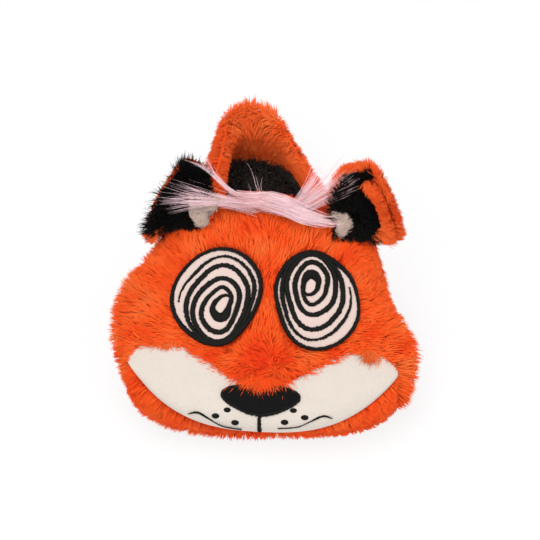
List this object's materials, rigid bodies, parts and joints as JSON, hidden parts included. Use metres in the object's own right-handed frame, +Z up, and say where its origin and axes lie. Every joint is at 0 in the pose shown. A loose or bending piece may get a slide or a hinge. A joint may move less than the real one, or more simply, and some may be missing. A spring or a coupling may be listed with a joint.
{
  "type": "plush dog toy",
  "caption": "Closed-back plush slipper form with a stuffed fox head over the toe, soft folding ears, a padded heel wall and a squeaker inside.",
  "frame": {"origin": "on the floor under the middle of the object's box", "axes": "+Z up, the face looks towards -Y, +X is the side of the eye at the right of the picture"},
  "size_m": [0.21, 0.2779, 0.1488],
  "materials": {
    "orange_fur": "long pile",
    "white_plush": "short pile",
    "eye_plush": "short pile",
    "black_felt": "felt",
    "black_thread": "satin stitch",
    "black_fur": "long pile",
    "cream_plush": "short pile",
    "pink_hair": "long hair",
    "charcoal_plush": "short pile",
    "sole_canvas": "woven",
    "foam": "open cell",
    "lining": "knit",
    "fibre": "loose fibre",
    "soft_vinyl": "satin",
    "seam_tape": "woven"
  },
  "bodies": {
    "slipper": {"outsole": "sole_canvas", "midsole_foam": "foam", "insole_pad": "charcoal_plush", "toe_lining": "lining", "chin_band": "orange_fur", "muzzle_panel": "white_plush", "face_left": "orange_fur", "face_right": "orange_fur", "throat_panel": "orange_fur", "underside_panel": "orange_fur", "head_stuffing_left": "fibre", "head_stuffing_right": "fibre", "squeaker_bulb": "soft_vinyl", "squeaker_reed": "soft_vinyl", "nose": "black_felt", "centre_line": "black_thread", "eye_patch_left": "eye_plush", "eye_outline_left": "black_thread", "eye_spiral_left": "black_thread", "mouth_line_left": "black_thread", "whisker_dot_left_1": "black_thread", "whisker_dot_left_2": "black_thread", "whisker_dot_left_3": "black_thread", "eye_patch_right": "eye_plush", "eye_outline_right": "black_thread", "eye_spiral_right": "black_thread", "mouth_line_right": "black_thread", "whisker_dot_right_1": "black_thread", "whisker_dot_right_2": "black_thread", "whisker_dot_right_3": "black_thread", "heel_outer_left": "orange_fur", "heel_outer_right": "orange_fur", "heel_lining_left": "orange_fur", "heel_lining_right": "orange_fur", "heel_foam": "foam", "forelock_strip": "pink_hair", "forelock_lock_left": "pink_hair", "forelock_lock_right": "pink_hair", "ear_seam_left": "seam_tape", "ear_seam_right": "seam_tape"},
    "ear_left": {"ear_back_left": "orange_fur", "ear_wadding_left": "fibre", "ear_front_left": "black_fur", "ear_patch_left": "cream_plush"},
    "ear_right": {"ear_back_right": "orange_fur", "ear_wadding_right": "fibre", "ear_front_right": "black_fur", "ear_patch_right": "cream_plush"}
  },
  "joints": [
    {"name": "ear_fold_left", "type": "hinge", "parent": "slipper", "child": "ear_left", "pos_m": [-0.0665, -0.0152, 0.0954], "axis": [0.8313, 0.3227, 0.4525], "range_deg": [-15, 30], "stiffness_Nm_per_rad": 0.12},
    {"name": "ear_fold_right", "type": "hinge", "parent": "slipper", "child": "ear_right", "pos_m": [0.0665, -0.0152, 0.0954], "axis": [0.8313, -0.3227, -0.4525], "range_deg": [-15, 30], "stiffness_Nm_per_rad": 0.12}
  ]
}
